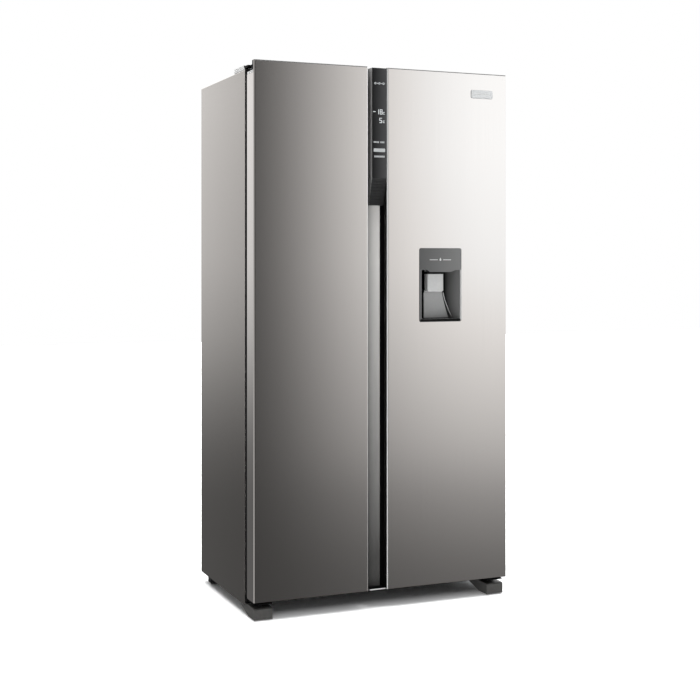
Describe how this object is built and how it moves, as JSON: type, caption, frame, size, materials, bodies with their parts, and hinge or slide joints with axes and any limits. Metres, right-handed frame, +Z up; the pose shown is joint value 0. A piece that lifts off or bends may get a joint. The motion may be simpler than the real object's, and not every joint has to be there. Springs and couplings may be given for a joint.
{
  "type": "side by side refrigerator",
  "caption": "Tall side by side refrigerator: narrow freezer door, wider fridge door with water dispenser, recessed grip groove with display, shelves, drawers and door bins inside.",
  "frame": {"origin": "bottom centre of the closed appliance's box, on the floor", "axes": "+Z up, +Y towards the back, doors face -Y, +X to the right as seen from the front"},
  "size_m": [0.91, 0.643, 1.786],
  "materials": {
    "stainless": "satin",
    "painted_side": "satin",
    "zinc_sheet": "satin",
    "white_plastic": "satin",
    "clear_plastic": "gloss",
    "shelf_glass": "gloss",
    "black_plastic": "satin",
    "black_glass": "gloss",
    "dark_grey_plastic": "satin",
    "gasket_rubber": "matte",
    "badge_silver": "satin",
    "compressor_black": "satin"
  },
  "bodies": {
    "cabinet": {"back_panel": "zinc_sheet", "bottom_hinge_left": "zinc_sheet", "bottom_hinge_right": "zinc_sheet", "cabinet_wrapper": "painted_side", "chassis_plate": "zinc_sheet", "compressor": "compressor_black", "condenser": "zinc_sheet", "evaporator_cover": "white_plastic", "foot_cover_left": "dark_grey_plastic", "foot_cover_right": "dark_grey_plastic", "freezer_liner": "white_plastic", "freezer_shelf_1": "shelf_glass", "freezer_shelf_2": "shelf_glass", "freezer_shelf_3": "shelf_glass", "freezer_shelf_4": "shelf_glass", "fridge_air_duct": "white_plastic", "fridge_liner": "white_plastic", "fridge_shelf_1": "shelf_glass", "fridge_shelf_2": "shelf_glass", "fridge_shelf_3": "shelf_glass", "fridge_shelf_4": "shelf_glass", "front_frame": "painted_side", "hinge_cover_left": "black_plastic", "hinge_cover_right": "black_plastic", "machine_cover": "zinc_sheet", "power_inlet": "black_plastic", "rear_spacer": "black_plastic", "top_hinge_left": "zinc_sheet", "top_hinge_right": "zinc_sheet"},
    "freezer_door": {"freezer_door_bin_1": "clear_plastic", "freezer_door_bin_2": "clear_plastic", "freezer_door_bin_3": "clear_plastic", "freezer_door_gasket": "gasket_rubber", "freezer_door_liner": "white_plastic", "freezer_door_skin": "stainless", "freezer_door_top_cap": "dark_grey_plastic", "freezer_grip_trim": "black_plastic"},
    "fridge_door": {"badge_plate": "badge_silver", "dispenser_housing": "dark_grey_plastic", "display_module": "black_glass", "fridge_door_bin_1": "clear_plastic", "fridge_door_bin_2": "clear_plastic", "fridge_door_bin_3": "clear_plastic", "fridge_door_gasket": "gasket_rubber", "fridge_door_liner": "white_plastic", "fridge_door_skin": "stainless", "fridge_door_top_cap": "dark_grey_plastic", "fridge_grip_trim": "black_plastic", "grip_flange": "stainless", "water_tank": "clear_plastic"},
    "dispenser_paddle": {"dispenser_paddle": "dark_grey_plastic"},
    "condenser_fan": {"condenser_fan": "black_plastic"},
    "freezer_drawer_lower": {"freezer_drawer_lower": "clear_plastic"},
    "freezer_drawer_upper": {"freezer_drawer_upper": "clear_plastic"},
    "fridge_drawer_lower": {"fridge_drawer_lower": "clear_plastic"},
    "fridge_drawer_upper": {"fridge_drawer_upper": "clear_plastic"},
    "levelling_foot_left": {"levelling_foot_left": "black_plastic"},
    "levelling_foot_right": {"levelling_foot_right": "black_plastic"},
    "rear_roller_left": {"rear_roller_left": "dark_grey_plastic"},
    "rear_roller_right": {"rear_roller_right": "dark_grey_plastic"}
  },
  "joints": [
    {"name": "freezer_door_hinge", "type": "hinge", "parent": "cabinet", "child": "freezer_door", "pos_m": [-0.437, -0.2843, 0.9], "axis": [0, 0, -1], "range_deg": [0, 120]},
    {"name": "fridge_door_hinge", "type": "hinge", "parent": "cabinet", "child": "fridge_door", "pos_m": [0.437, -0.2843, 0.9], "axis": [0, 0, 1], "range_deg": [0, 120]},
    {"name": "dispenser_paddle_hinge", "type": "hinge", "parent": "fridge_door", "child": "dispenser_paddle", "pos_m": [0.194, -0.2773, 1.046], "axis": [1, 0, 0], "range_deg": [0, 7], "stiffness_Nm_per_rad": 0.4},
    {"name": "freezer_drawer_lower_slide", "type": "slide", "parent": "cabinet", "child": "freezer_drawer_lower", "axis": [0, -1, 0], "range_m": [0, 0.17]},
    {"name": "freezer_drawer_upper_slide", "type": "slide", "parent": "cabinet", "child": "freezer_drawer_upper", "axis": [0, -1, 0], "range_m": [0, 0.17]},
    {"name": "fridge_drawer_lower_slide", "type": "slide", "parent": "cabinet", "child": "fridge_drawer_lower", "axis": [0, -1, 0], "range_m": [0, 0.17]},
    {"name": "fridge_drawer_upper_slide", "type": "slide", "parent": "cabinet", "child": "fridge_drawer_upper", "axis": [0, -1, 0], "range_m": [0, 0.17]},
    {"name": "levelling_foot_left_turn", "type": "hinge", "parent": "cabinet", "child": "levelling_foot_left", "pos_m": [-0.418, -0.2713, 0.01], "axis": [0, 0, 1], "continuous": true},
    {"name": "rear_roller_left_spin", "type": "hinge", "parent": "cabinet", "child": "rear_roller_left", "pos_m": [-0.425, 0.2207, 0.015], "axis": [1, 0, 0], "continuous": true},
    {"name": "levelling_foot_right_turn", "type": "hinge", "parent": "cabinet", "child": "levelling_foot_right", "pos_m": [0.418, -0.2713, 0.01], "axis": [0, 0, 1], "continuous": true},
    {"name": "rear_roller_right_spin", "type": "hinge", "parent": "cabinet", "child": "rear_roller_right", "pos_m": [0.425, 0.2207, 0.015], "axis": [1, 0, 0], "continuous": true},
    {"name": "condenser_fan_spin", "type": "hinge", "parent": "cabinet", "child": "condenser_fan", "pos_m": [0.053, 0.2027, 0.15], "axis": [1, 0, 0], "continuous": true}
  ],
  "couplings": [
    {"joint": "freezer_drawer_lower_slide", "follows": "freezer_door_hinge", "m_per_rad": 0.08},
    {"joint": "freezer_drawer_upper_slide", "follows": "freezer_door_hinge", "m_per_rad": 0.08},
    {"joint": "fridge_drawer_lower_slide", "follows": "fridge_door_hinge", "m_per_rad": 0.08},
    {"joint": "fridge_drawer_upper_slide", "follows": "fridge_door_hinge", "m_per_rad": 0.08}
  ]
}
